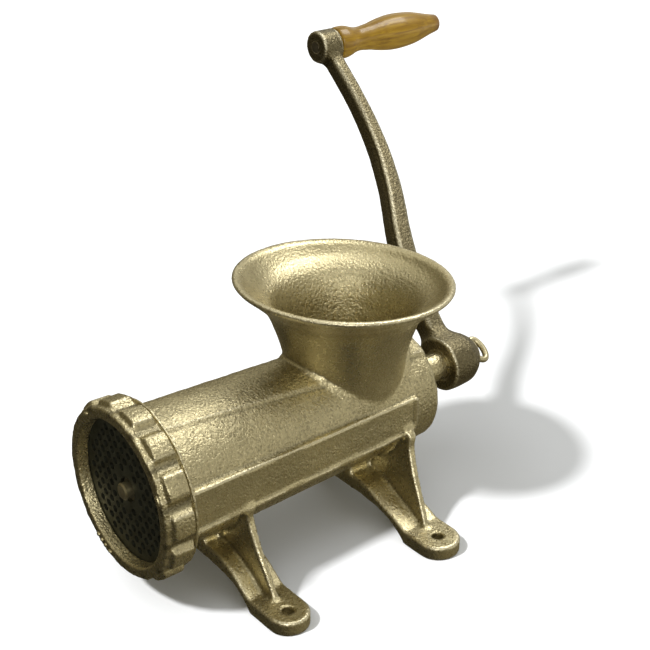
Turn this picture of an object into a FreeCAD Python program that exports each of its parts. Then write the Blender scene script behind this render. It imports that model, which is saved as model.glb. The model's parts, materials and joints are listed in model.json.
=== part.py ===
"""Hand crank meat grinder, bolt-down pattern, size 32.

Millimetres, +Z up. The shaft runs along +Y: the hole plate faces -Y and the crank is at +Y.
The origin is the centre of the four foot bolts, on the plane of the soles.
Stations along the shaft are measured from the front edge of the ring nut's lip and turned into
Y positions by station().
"""

import FreeCAD, Part
import math
import os

from FreeCAD import Vector

# Driving dimensions: the frame
SHAFT_HEIGHT = 74.0
LIP_Y = -122.5
FOOT_SPACING_X = 170.0
FOOT_SPACING_Y = 122.0
FOOT_HOLE_RADIUS = 4.25
RUNNING_GAP = 0.05
PART_GAP = 0.3

# Ring nut
NUT_FRONT = -1.2
NUT_REAR = 21.0
NUT_LUG_RADIUS = 57.5
NUT_FRONT_RADIUS = 56.0
NUT_GROOVE_ROOT = 54.0
NUT_LUGS = 14
NUT_FIRST_GROOVE_DEG = 15.0
LIP_RADIUS = 45.5
THREAD_RADIUS = 51.9
THREAD_PITCH = 4.0

# Hole plate
PLATE_FRONT = 6.5
PLATE_THICKNESS = 10.0
PLATE_RADIUS = 49.0
PLATE_HOLE_PITCH = 7.2
PLATE_HOLE_RADIUS = 2.4
PLATE_HOLES_INSIDE = 43.5
PLATE_SOLID_CENTRE = 13.5
PLATE_ROW_DEG = -7.5
PLATE_BORE_RADIUS = 8.0
KEY_RADIUS = 2.5
KEY_ANGLE_DEG = -90.0

# Barrel
MOUTH_FACE = 9.0
POCKET_FLOOR = PLATE_FRONT + PLATE_THICKNESS + RUNNING_GAP
COLLAR_REAR = 21.5
BEAD_REAR = 23.5
BEAD_RADIUS = 50.0
BARREL_FRONT_RADIUS = 45.7
BARREL_REAR = 222.0
BARREL_REAR_RADIUS = 39.2
REAR_EDGE = 226.0
REAR_EDGE_RADIUS = 36.8
BARREL_WALL = 4.2
BORE_REAR = 216.0
BOSS_RADIUS = 16.0
BOSS_FRONT = 230.0
BOSS_REAR = 241.0
BUSH_RADIUS = 12.5

# Flat bands along both sides of the barrel: front end, then rear end
BAND_STATIONS = (22.5, 203.0)
BAND_X = (47.8, 41.2)
BAND_LOW_Z = (59.5, 60.8)
BAND_HIGH_Z = (88.7, 86.3)

# Hopper: outer and inner outlines as radius and height from the rim, whose plane leans back
HOPPER_RIM_STATION = 173.5
HOPPER_NECK_STATION = 174.7
HOPPER_NECK_TOP = -45.0
HOPPER_RIM_Z = 165.7
HOPPER_LEAN_DEG = 3.3
HOPPER_OUTER = [(71.0, 0), (66.9, -5), (61.5, -10.5), (55.4, -16), (50.6, -22), (47.0, -30),
                (44.4, -38), (41.9, -47), (40.2, -58), (39.2, -74), (38.6, -90)]
HOPPER_INNER = [(64.6, 0), (60.2, -5), (54.4, -10.5), (48.8, -16), (44.8, -22.5), (41.6, -30),
                (39.4, -38), (37.4, -47), (36.0, -58), (34.6, -74), (33.6, -90)]
RIM_ROUNDING = 2.6

# Legs: an arched strip and an upright web, the same on both sides of the barrel
FOOT_THICKNESS = 9.5
FRONT_LEG = {"y": -FOOT_SPACING_Y / 2, "width": 27.0, "toe": 63.0, "wall": 16.5,
             "web_y": -FOOT_SPACING_Y / 2 + 0.8, "web_top": 48.0, "web_foot": 74.0}
REAR_LEG = {"y": FOOT_SPACING_Y / 2, "width": 29.0, "toe": 67.5, "wall": 13.5,
            "web_y": FOOT_SPACING_Y / 2 + 5.5, "web_top": 45.5, "web_foot": 72.0}
LEG_CROWN_TOP = 26.0
LEG_CROWN_UNDERSIDE = 16.5
WEB_THICKNESS = 6.0

# Worm, knife and stud
WORM_FRONT = 28.6
WORM_REAR = 213.0
WORM_PITCH = 46.0
WORM_GAP = 1.4
CORE_FRONT_RADIUS = 19.0
CORE_REAR_RADIUS = 14.0
FLIGHT_TIP = 7.0
FLIGHT_ROOT = 15.0
SHANK_RADIUS = 10.3
FLATS_START = 262.5
SHANK_END = 283.0
SHANK_FLAT = 7.6
STUD_SQUARE = 8.2
STUD_TIP_RADIUS = 5.5
STUD_TIP = 2.2
STUD_SHOULDER = 9.0
STUD_THREAD_RADIUS = 6.5
STUD_REAR = 52.0
KNIFE_FRONT = PLATE_FRONT + PLATE_THICKNESS + 0.1
KNIFE_REAR = 28.5
KNIFE_RADIUS = 41.0
KNIFE_BLADES = 4
KNIFE_BLADE_DEPTH = 9.0
KNIFE_HUB_RADIUS = 15.0

# Crank: its arm runs in one plane through the shaft axis and swings outwards in a smooth step
CRANK_LENGTH = 261.3
CRANK_LEAN_DEG = 136.2
HUB_FRONT = 260.3
HUB_STRAIGHT = 275.0
HUB_REAR = 289.0
HUB_RADIUS = 19.0
HUB_REAR_RADIUS = 12.6
ARM_IN = 269.5
ARM_OUT = 309.2
ARM_STEP_FROM = 30.0
ARM_STEP_TO = 200.0
ARM_WIDTH = (17.0, 14.0)
ARM_DEPTH = (12.0, 10.5)
EYE_FRONT = 300.1
EYE_REAR = 318.0
EYE_RADIUS = 12.0

# Thumb screw
SCREW_RADIUS = 4.95
SCREW_TIP = 268.0
WASHER_RADIUS = 11.0
WASHER_REAR = 290.5
COLLAR_RADIUS = 8.0
COLLAR_END = 294.0
BOW_CENTRE = 297.8
BOW_HALF_WIDTH = 8.7
BOW_HALF_LENGTH = 5.4
BOW_WIRE_RADIUS = 1.9
BOW_TURN_DEG = -35.0

# Grip on its spindle: outline as station behind the eye's front face and radius
SPINDLE_RADIUS = 4.0
SPINDLE_HEAD_RADIUS = 6.2
GRIP_BORE_RADIUS = 4.05
GRIP_OUTLINE = [(18.4, 11.4), (24.0, 12.4), (31.0, 11.6), (40.0, 9.3), (52.0, 10.6), (66.0, 13.2),
                (80.0, 13.9), (96.0, 12.6), (109.0, 9.6), (118.0, 7.2)]
GRIP_END = 121.5
GRIP_RECESS = 3.0
GRIP_WASHER_THICKNESS = 1.0

SHAFT_DIRECTION = Vector(0, 1, 0)


def station(distance):
    """Y of a station measured from the lip's front edge."""
    return distance + LIP_Y


def on_shaft(distance):
    """Point on the shaft axis at a station."""
    return Vector(0, station(distance), SHAFT_HEIGHT)


def cylinder(radius, start, end, x=0.0, z=SHAFT_HEIGHT):
    """Round bar along the shaft direction between two stations."""
    return Part.makeCylinder(radius, end - start, Vector(x, station(start), z), SHAFT_DIRECTION)


def turned(outline, x=0.0, z=SHAFT_HEIGHT):
    """Solid of revolution about the shaft direction from (station, radius) corners."""
    corners = [Vector(x + radius, station(distance), z) for distance, radius in outline]
    face = Part.Face(Part.makePolygon(corners + corners[:1]))
    return face.revolve(Vector(x, 0, z), SHAFT_DIRECTION, 360)


def spun(outline, ends, x=0.0, z=SHAFT_HEIGHT):
    """Solid of revolution whose outline is a smooth curve through (station, radius) points."""
    points = [Vector(x + radius, station(distance), z) for distance, radius in outline]
    curve = Part.BSplineCurve()
    curve.interpolate(points)
    start, end = [Vector(x, station(distance), z) for distance in ends]
    wire = Part.Wire([curve.toShape(), Part.makeLine(points[-1], end), Part.makeLine(end, start),
                      Part.makeLine(start, points[0])])
    return Part.Face(wire).revolve(Vector(x, 0, z), SHAFT_DIRECTION, 360)


def square_bar(half, start, end):
    """Square bar along the shaft."""
    return Part.makeBox(2 * half, end - start, 2 * half, Vector(-half, station(start), SHAFT_HEIGHT - half))


def double_flat_bar(radius, flat, start, end):
    """Round bar with two flats, along the shaft."""
    box = Part.makeBox(2 * radius + 2, end - start, 2 * flat,
                       Vector(-radius - 1, station(start), SHAFT_HEIGHT - flat))
    return cylinder(radius, start, end).common(box)


def mirrored(shape):
    """The same shape on the other side of the shaft."""
    return shape.mirror(Vector(0, 0, 0), Vector(1, 0, 0))


def save(name, shape):
    """Write one node and report it."""
    solids = shape.Solids
    body = solids[0] if len(solids) == 1 else Part.makeCompound(solids)
    if not all(solid.isValid() for solid in solids):
        raise ValueError(name + " is not valid")
    body.exportStep("parts/" + name + ".step")
    print(f"{name:18s} solids {len(solids):2d}  volume {body.Volume:12.1f}  "
          f"y {body.BoundBox.YMin:7.1f} to {body.BoundBox.YMax:7.1f}")
    return body


def bore_radius(distance):
    """Radius of the tapered bore at a station."""
    share = (distance - BEAD_REAR) / (BARREL_REAR - BEAD_REAR)
    outside = BARREL_FRONT_RADIUS + (BARREL_REAR_RADIUS - BARREL_FRONT_RADIUS) * share
    return outside - BARREL_WALL


def smooth_step(share):
    """Blend from 0 to 1 with level ends."""
    share = min(1.0, max(0.0, share))
    return share * share * (3 - 2 * share)


# --- body casting -------------------------------------------------------------------------

def side_band():
    """Flat raised band on the +X side of the barrel."""
    ends = []
    for distance, x, low, high in zip(BAND_STATIONS, BAND_X, BAND_LOW_Z, BAND_HIGH_Z):
        y = station(distance)
        corners = [Vector(x - 14, y, low), Vector(x, y, low), Vector(x, y, high), Vector(x - 14, y, high)]
        ends.append(Part.makePolygon(corners + corners[:1]))
    return Part.makeLoft(ends, True, True)


def hopper_solid(outline):
    """Loft through rings that lean at the rim and lie level from the neck down."""
    rings = []
    for radius, height in outline:
        flare = max(0.0, 1 - height / HOPPER_NECK_TOP)
        ring = Part.Wire(Part.makeCircle(radius))
        ring.rotate(Vector(0, 0, 0), Vector(1, 0, 0), -HOPPER_LEAN_DEG * flare)
        middle = HOPPER_NECK_STATION + (HOPPER_RIM_STATION - HOPPER_NECK_STATION) * flare
        ring.translate(Vector(0, station(middle), HOPPER_RIM_Z + height))
        rings.append(ring)
    return Part.makeLoft(rings, True, False)


def leg_strip(leg):
    """Arched strip across both feet of one pair, with rounded foot ends and bolt holes."""
    toe = leg["toe"]
    half_span = FOOT_SPACING_X / 2
    top = [(0, LEG_CROWN_TOP), (20, LEG_CROWN_TOP - 0.2), (toe - 27, 23.6), (toe - 11.5, 17.0),
           (toe - 5, 12.2), (toe, FOOT_THICKNESS)]
    low = [(toe + 1.5, 0), (toe - 4.5, 5.0), (toe - 14, 12.0), (toe - 30, 15.6), (0, LEG_CROWN_UNDERSIDE)]
    end_x = half_span + leg["width"]
    start = leg["y"] - leg["width"] / 2
    curves = []
    for outline in (top, low):
        curve = Part.BSplineCurve()
        curve.interpolate([Vector(x, start, z) for x, z in outline])
        curves.append(curve.toShape())
    corners = [Vector(toe, start, FOOT_THICKNESS), Vector(end_x, start, FOOT_THICKNESS),
               Vector(end_x, start, 0), Vector(toe + 1.5, start, 0)]
    closing = Part.makeLine(Vector(0, start, LEG_CROWN_UNDERSIDE), Vector(0, start, LEG_CROWN_TOP))
    edges = [curves[0]] + [Part.makeLine(a, b) for a, b in zip(corners, corners[1:])] + [curves[1], closing]
    half = Part.Face(Part.Wire(edges)).extrude(Vector(0, leg["width"], 0))

    # the foot's end is a half round about the bolt hole
    plan = Part.makeBox(half_span, leg["width"], 60, Vector(0, start, -10))
    plan = plan.fuse(Part.makeCylinder(leg["width"] / 2, 60, Vector(half_span, leg["y"], -10)))
    half = half.common(plan)
    return half.fuse(mirrored(half)).removeSplitter()


def leg_web(leg):
    """Upright web from the side bands down to both feet of one pair."""
    y = leg["web_y"] - WEB_THICKNESS / 2
    drop = BAND_LOW_Z[0] + 3 - FOOT_THICKNESS
    reach = leg["web_foot"] - leg["web_top"]
    outer = [Vector(leg["web_top"] + reach * share ** 1.25, y, BAND_LOW_Z[0] + 3 - drop * share)
             for share in (0, 0.2, 0.45, 0.7, 1.0)]
    curve = Part.BSplineCurve()
    curve.interpolate(outer)
    foot_inside = Vector(leg["toe"] - 8, y, 8.0)
    under = Vector(leg["toe"] - 30, y, LEG_CROWN_UNDERSIDE + 3)
    middle_low = Vector(0, y, LEG_CROWN_UNDERSIDE + 3)
    middle_high = Vector(0, y, SHAFT_HEIGHT)
    top_inside = Vector(leg["web_top"] - 12, y, BAND_LOW_Z[0] + 3)
    corners = [outer[-1], foot_inside, under, middle_low, middle_high, top_inside, outer[0]]
    edges = [curve.toShape()] + [Part.makeLine(a, b) for a, b in zip(corners, corners[1:])]
    half = Part.Face(Part.Wire(edges)).extrude(Vector(0, WEB_THICKNESS, 0))
    return half.fuse(mirrored(half))


def leg_wall(leg):
    """Short wall that joins the crown of the strip to the barrel's underside."""
    low = LEG_CROWN_UNDERSIDE + 3
    corner = Vector(-leg["wall"], leg["y"] - leg["width"] / 2, low)
    return Part.makeBox(2 * leg["wall"], leg["width"], SHAFT_HEIGHT - BARREL_REAR_RADIUS + 5 - low, corner)


def body_casting():
    """Barrel, hopper, legs and rear bearing boss: one iron casting."""
    barrel = turned([
        (MOUTH_FACE, 0), (MOUTH_FACE, THREAD_RADIUS), (COLLAR_REAR, THREAD_RADIUS),
        (COLLAR_REAR, BEAD_RADIUS), (BEAD_REAR, BEAD_RADIUS), (BEAD_REAR, BARREL_FRONT_RADIUS),
        (BARREL_REAR, BARREL_REAR_RADIUS), (REAR_EDGE, REAR_EDGE_RADIUS),
        (BOSS_FRONT, BOSS_RADIUS + 3), (BOSS_FRONT, BOSS_RADIUS), (BOSS_REAR, BOSS_RADIUS), (BOSS_REAR, 0)])
    bands = side_band().fuse(mirrored(side_band()))
    hopper = hopper_solid(HOPPER_OUTER)
    legs = [part(leg) for leg in (FRONT_LEG, REAR_LEG) for part in (leg_strip, leg_web, leg_wall)]
    casting = barrel.fuse([bands, hopper] + legs)

    bore = turned([(POCKET_FLOOR, 0), (POCKET_FLOOR, bore_radius(BEAD_REAR)),
                   (BEAD_REAR, bore_radius(BEAD_REAR)), (BORE_REAR, bore_radius(BORE_REAR)), (BORE_REAR, 0)])
    pocket = cylinder(PLATE_RADIUS + 3 * RUNNING_GAP, MOUTH_FACE - 1, POCKET_FLOOR)
    rear_bore = cylinder(BUSH_RADIUS, BORE_REAR - 1, BOSS_REAR + 1)
    throat = hopper_solid(HOPPER_INNER)
    casting = casting.cut([bore, pocket, rear_bore, throat, key_hole()])
    holes = [Part.makeCylinder(FOOT_HOLE_RADIUS, 60, Vector(side * FOOT_SPACING_X / 2, leg["y"], -10))
             for side in (-1, 1) for leg in (FRONT_LEG, REAR_LEG)]
    casting = casting.cut(holes).removeSplitter()
    return round_rim(casting)


def round_rim(casting):
    """Round both edges of the hopper's rim."""
    rim = [edge for edge in casting.Edges
           if edge.BoundBox.ZMax > HOPPER_RIM_Z + 2 and edge.BoundBox.XLength > 100]
    return casting.makeFillet(RIM_ROUNDING, rim)


def key_place():
    """X and Z of the plate's locating key, on the rim of the pocket."""
    angle = math.radians(KEY_ANGLE_DEG)
    return PLATE_RADIUS * math.cos(angle), SHAFT_HEIGHT + PLATE_RADIUS * math.sin(angle)


def key_hole():
    """Hole in the casting that the locating key is driven into."""
    x, z = key_place()
    return cylinder(KEY_RADIUS, MOUTH_FACE + 0.5, POCKET_FLOOR + 8, x, z)


def plate_key():
    """Round key that stops the hole plate from turning."""
    x, z = key_place()
    return cylinder(KEY_RADIUS, MOUTH_FACE + 0.5, POCKET_FLOOR + 8, x, z)


# --- mouth --------------------------------------------------------------------------------

def ring_nut():
    """Cast ring nut with lugs round its rim and a lip that holds the plate."""
    body = turned([
        (0.0, LIP_RADIUS), (NUT_FRONT, LIP_RADIUS + 2.5), (NUT_FRONT, NUT_FRONT_RADIUS - 2),
        (NUT_FRONT + 2, NUT_FRONT_RADIUS), (NUT_FRONT + 5, NUT_LUG_RADIUS), (NUT_REAR - 1.5, NUT_LUG_RADIUS),
        (NUT_REAR, NUT_LUG_RADIUS - 1.5), (NUT_REAR, THREAD_RADIUS + RUNNING_GAP),
        (MOUTH_FACE - 0.2, THREAD_RADIUS + RUNNING_GAP), (MOUTH_FACE - 0.2, PLATE_RADIUS + 0.5),
        (PLATE_FRONT - RUNNING_GAP, PLATE_RADIUS + 0.5), (PLATE_FRONT - RUNNING_GAP, LIP_RADIUS)])
    grooves = []
    for index in range(NUT_LUGS):
        notch = turned_notch()
        notch.rotate(on_shaft(0), SHAFT_DIRECTION, -(NUT_FIRST_GROOVE_DEG + index * 360.0 / NUT_LUGS))
        grooves.append(notch)
    return body.cut(grooves)


def turned_notch():
    """V-shaped cutter for one groove between lugs, on the +X side."""
    y = station(NUT_FRONT - 1)
    outline = [(NUT_GROOVE_ROOT, -1.5), (NUT_GROOVE_ROOT, 1.5), (NUT_LUG_RADIUS + 1, 6.5),
               (NUT_LUG_RADIUS + 1, -6.5)]
    corners = [Vector(x, y, SHAFT_HEIGHT + z) for x, z in outline]
    face = Part.Face(Part.makePolygon(corners + corners[:1]))
    return face.extrude(Vector(0, NUT_REAR - NUT_FRONT + 2, 0))


def plate_hole_centres():
    """Hexagonal grid of hole centres, with a solid middle and a solid edge."""
    turn = math.radians(PLATE_ROW_DEG)
    rows = int(PLATE_RADIUS / PLATE_HOLE_PITCH) + 2
    centres = []
    for row in range(-rows, rows + 1):
        for column in range(-rows, rows + 1):
            along = (column + 0.5 * (row % 2)) * PLATE_HOLE_PITCH
            across = row * PLATE_HOLE_PITCH * math.sqrt(3) / 2
            x = along * math.cos(turn) - across * math.sin(turn)
            z = along * math.sin(turn) + across * math.cos(turn)
            if PLATE_SOLID_CENTRE < math.hypot(x, z) < PLATE_HOLES_INSIDE - PLATE_HOLE_RADIUS:
                centres.append((x, z))
    return centres


def hole_plate():
    """Round steel plate with small holes, a centre bore and a notch for the key."""
    y = station(PLATE_FRONT)
    wires = [Part.Wire(Part.makeCircle(radius, Vector(x, y, SHAFT_HEIGHT + z), SHAFT_DIRECTION))
             for radius, x, z in [(PLATE_RADIUS, 0, 0), (PLATE_BORE_RADIUS, 0, 0)]
             + [(PLATE_HOLE_RADIUS, x, z) for x, z in plate_hole_centres()]]
    outline = Part.Face(wires[0])
    holes = Part.makeCompound([Part.Face(wire) for wire in wires[1:]])
    plate = outline.cut(holes).extrude(Vector(0, PLATE_THICKNESS, 0))
    notch = cylinder(KEY_RADIUS + PART_GAP, PLATE_FRONT - 1, PLATE_FRONT + PLATE_THICKNESS + 1, *key_place())
    return plate.cut(notch)


def knife():
    """Four-bladed cross knife with a square hole."""
    hub = cylinder(KNIFE_HUB_RADIUS, KNIFE_FRONT, KNIFE_REAR)
    front, back = KNIFE_FRONT, KNIFE_FRONT + KNIFE_BLADE_DEPTH
    sections = []
    for reach, cutting_edge, heel in ((8.0, 6.5, -7.5), (KNIFE_RADIUS - 1.5, 8.5, -3.5)):
        outline = [(front, cutting_edge), (front, heel + 3), (back, heel), (back, cutting_edge - 8)]
        corners = [Vector(reach, station(distance), SHAFT_HEIGHT + z) for distance, z in outline]
        sections.append(Part.makePolygon(corners + corners[:1]))
    blades = []
    for index in range(KNIFE_BLADES):
        blade = Part.makeLoft(sections, True, True)
        blade.rotate(on_shaft(0), SHAFT_DIRECTION, index * 360.0 / KNIFE_BLADES)
        blades.append(blade)
    cross = hub.fuse(blades).common(cylinder(KNIFE_RADIUS, KNIFE_FRONT, KNIFE_REAR))
    return cross.cut(square_bar(STUD_SQUARE + RUNNING_GAP, KNIFE_FRONT - 1, KNIFE_REAR + 1))


# --- worm and shaft -----------------------------------------------------------------------

def worm():
    """Feed worm: tapered core, one left-handed flight and the shank that the crank drives."""
    core = turned([(WORM_FRONT, 0), (WORM_FRONT, CORE_FRONT_RADIUS), (WORM_REAR - 6, CORE_REAR_RADIUS),
                   (WORM_REAR, CORE_REAR_RADIUS + 2), (WORM_REAR, SHANK_RADIUS),
                   (FLATS_START, SHANK_RADIUS), (FLATS_START, 0)])
    length = WORM_REAR - WORM_FRONT - 12
    spine = Part.makeHelix(WORM_PITCH, length, 20.0)
    corners = [Vector(9, 0, -FLIGHT_ROOT / 2), Vector(45, 0, -FLIGHT_TIP / 2),
               Vector(45, 0, FLIGHT_TIP / 2), Vector(9, 0, FLIGHT_ROOT / 2)]
    profile = Part.makePolygon(corners + corners[:1])
    flight = Part.Wire(spine.Edges).makePipeShell([profile], True, True)
    flight = mirrored(flight)
    flight.rotate(Vector(0, 0, 0), Vector(1, 0, 0), -90)
    flight.translate(on_shaft(WORM_FRONT + 3))
    envelope = turned([(WORM_FRONT, 0), (WORM_FRONT, bore_radius(WORM_FRONT) - WORM_GAP),
                       (WORM_REAR - 2, bore_radius(WORM_REAR) - WORM_GAP), (WORM_REAR - 2, 0)])
    tang = double_flat_bar(SHANK_RADIUS, SHANK_FLAT, FLATS_START - 1, SHANK_END)
    screw_hole = cylinder(SCREW_RADIUS + RUNNING_GAP, SCREW_TIP - 2, SHANK_END + 1)
    stud_hole = cylinder(STUD_THREAD_RADIUS, WORM_FRONT - 1, STUD_REAR)
    return core.fuse([flight.common(envelope), tang]).cut([screw_hole, stud_hole])


def worm_stud():
    """Hardened stud in the worm's front end: square for the knife and journal for the plate."""
    journal = cylinder(PLATE_BORE_RADIUS - RUNNING_GAP, STUD_SHOULDER, KNIFE_FRONT + 1)
    tip = turned([(STUD_TIP, 0), (STUD_TIP, STUD_TIP_RADIUS - 1), (STUD_TIP + 1, STUD_TIP_RADIUS),
                  (STUD_SHOULDER + 1, STUD_TIP_RADIUS), (STUD_SHOULDER + 1, 0)])
    square = square_bar(STUD_SQUARE, KNIFE_FRONT, WORM_FRONT)
    return tip.fuse([journal, square, cylinder(STUD_THREAD_RADIUS, WORM_FRONT - 1, STUD_REAR)])


def rear_bush():
    """Bearing bush pressed into the casting's rear boss."""
    return cylinder(BUSH_RADIUS, BORE_REAR, BOSS_REAR).cut(
        cylinder(SHANK_RADIUS + RUNNING_GAP, BORE_REAR - 1, BOSS_REAR + 1))


def thrust_washer():
    """Fibre washer that takes the worm's push against the barrel's end wall."""
    return cylinder(18.0, WORM_REAR, BORE_REAR - 2 * RUNNING_GAP).cut(
        cylinder(SHANK_RADIUS + RUNNING_GAP, WORM_REAR - 1, BORE_REAR + 1))


# --- crank --------------------------------------------------------------------------------

def crank_direction():
    """Unit vector from the shaft axis along the arm."""
    angle = math.radians(CRANK_LEAN_DEG)
    return Vector(math.cos(angle), 0, math.sin(angle))


def grip_axis():
    """X and Z of the grip's spindle."""
    reach = crank_direction() * CRANK_LENGTH
    return reach.x, SHAFT_HEIGHT + reach.z


def arm_section(distance):
    """Rounded section of the arm at a distance from the shaft axis."""
    along = crank_direction()
    across = Vector(-along.z, 0, along.x)
    share = distance / CRANK_LENGTH
    half_width = (ARM_WIDTH[0] + (ARM_WIDTH[1] - ARM_WIDTH[0]) * share) / 2
    half_depth = (ARM_DEPTH[0] + (ARM_DEPTH[1] - ARM_DEPTH[0]) * share) / 2
    step = smooth_step((distance - ARM_STEP_FROM) / (ARM_STEP_TO - ARM_STEP_FROM))
    centre = on_shaft(ARM_IN + (ARM_OUT - ARM_IN) * step) + along * distance
    corner = 0.62
    ring = [(1, corner), (1, -corner), (corner, -1), (-corner, -1), (-1, -corner), (-1, corner),
            (-corner, 1), (corner, 1)]
    points = [centre + across * (half_width * a) + SHAFT_DIRECTION * (half_depth * b) for a, b in ring]
    return Part.makePolygon(points + points[:1])


def crank_arm():
    """Cast crank: hub with a two-flat hole, curved arm and the eye that holds the grip."""
    hub = turned([(HUB_FRONT, 0), (HUB_FRONT, HUB_RADIUS - 1), (HUB_FRONT + 1, HUB_RADIUS),
                  (HUB_STRAIGHT, HUB_RADIUS), (HUB_STRAIGHT + 6, HUB_RADIUS - 1.5),
                  (HUB_REAR - 3, HUB_RADIUS - 4.2), (HUB_REAR, HUB_REAR_RADIUS), (HUB_REAR, 0)])
    distances = [8, 30, 55, 80, 105, 130, 155, 180, 205, CRANK_LENGTH - 4]
    arm = Part.makeLoft([arm_section(distance) for distance in distances], True, False)
    x, z = grip_axis()
    eye = turned([(EYE_FRONT, 0), (EYE_FRONT, EYE_RADIUS - 1), (EYE_FRONT + 1, EYE_RADIUS),
                  (EYE_REAR - 1, EYE_RADIUS), (EYE_REAR, EYE_RADIUS - 1), (EYE_REAR, 0)], x, z)
    crank = hub.fuse([arm, eye])
    tang_hole = double_flat_bar(SHANK_RADIUS + RUNNING_GAP, SHANK_FLAT + RUNNING_GAP,
                                FLATS_START - 1, SHANK_END + 0.5)
    shank_hole = cylinder(SHANK_RADIUS + RUNNING_GAP, HUB_FRONT - 1, FLATS_START)
    screw_hole = cylinder(SCREW_RADIUS + 2 * RUNNING_GAP, SHANK_END, HUB_REAR + 1)
    spindle_hole = cylinder(SPINDLE_RADIUS, EYE_FRONT - 1, EYE_REAR + 1, x, z)
    return crank.cut([tang_hole, shank_hole, screw_hole, spindle_hole])


def clamp_washer():
    """Steel washer between the thumb screw and the crank's hub."""
    return cylinder(WASHER_RADIUS, HUB_REAR, WASHER_REAR).cut(
        cylinder(SCREW_RADIUS + 2 * RUNNING_GAP, HUB_REAR - 1, WASHER_REAR + 1))


def thumb_screw():
    """Screw with a bow-shaped finger ring that clamps the crank on the shank."""
    shaft = turned([(SCREW_TIP, 0), (SCREW_TIP, SCREW_RADIUS - 1), (SCREW_TIP + 1, SCREW_RADIUS),
                    (WASHER_REAR, SCREW_RADIUS), (WASHER_REAR, COLLAR_RADIUS),
                    (COLLAR_END - 1.5, COLLAR_RADIUS), (COLLAR_END, COLLAR_RADIUS - 2), (COLLAR_END, 0)])
    centre = on_shaft(BOW_CENTRE)
    straight = BOW_HALF_WIDTH - BOW_HALF_LENGTH
    bow = []
    for side in (-1, 1):
        bend = Part.makeTorus(BOW_HALF_LENGTH, BOW_WIRE_RADIUS, centre + Vector(side * straight, 0, 0),
                              Vector(0, 0, 1))
        half = Part.makeBox(20, 20, 20, centre + Vector(side * (straight + 10) - 10, -10, -10))
        bow.append(bend.common(half))
        bow.append(Part.makeCylinder(BOW_WIRE_RADIUS, 2 * straight,
                                     centre + Vector(-straight, side * BOW_HALF_LENGTH, 0), Vector(1, 0, 0)))
    ring = bow[0].fuse(bow[1:]).removeSplitter()
    ring.rotate(centre, SHAFT_DIRECTION, -BOW_TURN_DEG)
    return shaft.fuse(ring)


# --- grip ---------------------------------------------------------------------------------

def grip():
    """Turned wooden grip, free to spin on its spindle."""
    x, z = grip_axis()
    outline = [(EYE_FRONT + distance, radius) for distance, radius in GRIP_OUTLINE]
    outline.append((EYE_FRONT + GRIP_END, SPINDLE_HEAD_RADIUS + 0.9))
    wood = spun(outline, (outline[0][0], outline[-1][0]), x, z)
    end = EYE_FRONT + GRIP_END
    bore = cylinder(GRIP_BORE_RADIUS, EYE_REAR, end + 1, x, z)
    recess = cylinder(SPINDLE_HEAD_RADIUS + PART_GAP, end - GRIP_RECESS, end + 1, x, z)
    return wood.cut([bore, recess])


def grip_spindle():
    """Steel rivet through the eye and the grip, headed at the grip's end."""
    x, z = grip_axis()
    end = EYE_FRONT + GRIP_END
    rod = cylinder(SPINDLE_RADIUS, EYE_FRONT - 0.8, end, x, z)
    under_head = end - GRIP_RECESS + PART_GAP + GRIP_WASHER_THICKNESS
    radius = SPINDLE_HEAD_RADIUS - 0.4
    head = turned([(under_head, 0), (under_head, radius), (end - 0.6, radius), (end + 0.4, 3.0),
                   (end + 0.4, 0)], x, z)
    return rod.fuse(head)


def grip_washer():
    """Thin washer under the spindle's head."""
    x, z = grip_axis()
    front = EYE_FRONT + GRIP_END - GRIP_RECESS + PART_GAP
    back = front + GRIP_WASHER_THICKNESS
    return cylinder(SPINDLE_HEAD_RADIUS, front, back, x, z).cut(
        cylinder(SPINDLE_RADIUS, front - 1, back + 1, x, z))


NODES = {
    "body_casting": body_casting, "plate_key": plate_key, "rear_bush": rear_bush,
    "ring_nut": ring_nut, "hole_plate": hole_plate, "cross_knife": knife,
    "feed_worm": worm, "worm_stud": worm_stud, "thrust_washer": thrust_washer,
    "crank_arm": crank_arm, "clamp_washer": clamp_washer, "thumb_screw": thumb_screw,
    "wooden_grip": grip, "grip_spindle": grip_spindle, "grip_washer": grip_washer,
}


def main():
    os.makedirs("parts", exist_ok=True)
    for name, build in NODES.items():
        save(name, build())


main()
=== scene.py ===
"""Looks of the hand crank meat grinder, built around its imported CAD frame.

Lengths in this script are millimetres until a mesh is made. Stations are distances along the shaft
from the front edge of the ring nut's lip, as in the CAD model.
"""

import json
import math

import bpy
import numpy as np
from mathutils import Matrix, Vector, noise


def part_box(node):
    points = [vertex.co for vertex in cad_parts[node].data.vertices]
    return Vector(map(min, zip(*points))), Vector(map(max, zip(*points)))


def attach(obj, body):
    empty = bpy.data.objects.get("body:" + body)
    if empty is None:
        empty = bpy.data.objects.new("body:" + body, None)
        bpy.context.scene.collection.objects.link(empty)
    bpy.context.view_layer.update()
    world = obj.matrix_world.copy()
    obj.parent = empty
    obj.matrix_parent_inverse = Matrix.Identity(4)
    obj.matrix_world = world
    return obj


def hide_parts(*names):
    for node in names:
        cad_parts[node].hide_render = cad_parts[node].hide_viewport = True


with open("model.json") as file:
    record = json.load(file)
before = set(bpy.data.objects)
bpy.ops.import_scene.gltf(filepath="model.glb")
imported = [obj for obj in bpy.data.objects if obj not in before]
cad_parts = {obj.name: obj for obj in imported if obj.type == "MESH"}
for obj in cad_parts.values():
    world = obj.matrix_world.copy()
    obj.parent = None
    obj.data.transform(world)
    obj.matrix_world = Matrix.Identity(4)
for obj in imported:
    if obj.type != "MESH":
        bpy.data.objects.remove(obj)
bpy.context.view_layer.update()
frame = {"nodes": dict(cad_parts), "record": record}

MM = 0.001


# --- measures read from the frame ---------------------------------------------------------

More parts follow.
